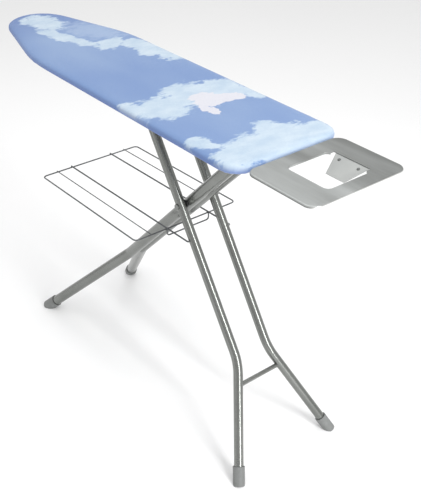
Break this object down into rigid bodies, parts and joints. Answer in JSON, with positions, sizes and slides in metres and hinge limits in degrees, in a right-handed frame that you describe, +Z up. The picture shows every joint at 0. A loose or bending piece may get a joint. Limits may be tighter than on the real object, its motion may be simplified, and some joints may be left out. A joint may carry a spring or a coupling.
{
  "type": "ironing board",
  "caption": "Folding ironing board: padded cloth-covered top on two crossing pairs of tube legs, with a metal iron rest at the tail end and a wire rack between the legs.",
  "frame": {"origin": "on the floor, at the middle of the overall box in plan", "axes": "+X towards the iron rest at the tail end, the nose at -X; +Z up; -Y is the side with the release grip"},
  "size_m": [1.427, 0.3696, 0.9],
  "materials": {
    "cover_cloth": "woven cotton, matt",
    "felt_pad": "needled felt",
    "rest_plate": "satin silver lacquer",
    "silver_tube": "satin silver lacquer",
    "rack_wire": "plated wire",
    "grey_plastic": "moulded, matt",
    "dark_plastic": "moulded, matt",
    "zinc_steel": "zinc plated"
  },
  "bodies": {
    "board": {"cover": "cover_cloth", "deck": "zinc_steel", "fold_hinge_pin": "zinc_steel", "guide_rail_far": "zinc_steel", "guide_rail_near": "zinc_steel", "hinge_bracket_far": "zinc_steel", "hinge_bracket_near": "zinc_steel", "iron_plate": "rest_plate", "iron_tab": "zinc_steel", "lever_hanger_far": "zinc_steel", "lever_hanger_near": "zinc_steel", "pad": "felt_pad", "rest_clip_far": "zinc_steel", "rest_clip_near": "zinc_steel", "rest_rod_far": "zinc_steel", "rest_rod_near": "zinc_steel", "tab_rivet_1": "zinc_steel", "tab_rivet_2": "zinc_steel"},
    "leg_b": {"crossing_pin": "zinc_steel", "crossing_spacer": "dark_plastic", "crossing_washer_far": "dark_plastic", "crossing_washer_near": "dark_plastic", "hinge_spacer": "dark_plastic", "leg_b_far_foot": "grey_plastic", "leg_b_far_plug": "grey_plastic", "leg_b_far_tube": "silver_tube", "leg_b_near_foot": "grey_plastic", "leg_b_near_plug": "grey_plastic", "leg_b_near_tube": "silver_tube"},
    "leg_a": {"glide_far": "dark_plastic", "glide_near": "dark_plastic", "leg_a_crossbar": "silver_tube", "leg_a_far_foot": "grey_plastic", "leg_a_far_plug": "grey_plastic", "leg_a_far_tube": "silver_tube", "leg_a_near_foot": "grey_plastic", "leg_a_near_plug": "grey_plastic", "leg_a_near_tube": "silver_tube", "top_bar": "zinc_steel"},
    "rack": {"rack_arm_far": "rack_wire", "rack_arm_near": "rack_wire", "rack_bar_far": "rack_wire", "rack_bar_near": "rack_wire", "rack_frame": "rack_wire", "rack_stop_wire": "rack_wire"},
    "release_lever": {"lever_grip": "dark_plastic", "lever_rod": "zinc_steel"}
  },
  "joints": [
    {"name": "fold", "type": "hinge", "parent": "board", "child": "leg_b", "pos_m": [0.395, 0, 0.862], "axis": [0, 1, 0], "range_deg": [0, 37.5]},
    {"name": "leg_crossing", "type": "hinge", "parent": "leg_b", "child": "leg_a", "pos_m": [0.16258, 0, 0.62549], "axis": [0, 1, 0], "range_deg": [-85.37, 0]},
    {"name": "rack_pivot", "type": "hinge", "parent": "leg_a", "child": "rack", "pos_m": [0.21375, 0, 0.54639], "axis": [0, 1, 0], "range_deg": [0, 47.17]},
    {"name": "release", "type": "hinge", "parent": "board", "child": "release_lever", "pos_m": [0.06997, 0, 0.866], "axis": [0, -1, 0], "range_deg": [0, 12], "stiffness_Nm_per_rad": 1, "springref_deg": -8.59}
  ],
  "couplings": [
    {"joint": "leg_crossing", "follows": "fold", "ratio": -2.2712},
    {"joint": "rack_pivot", "follows": "fold", "ratio": 1.2526}
  ]
}
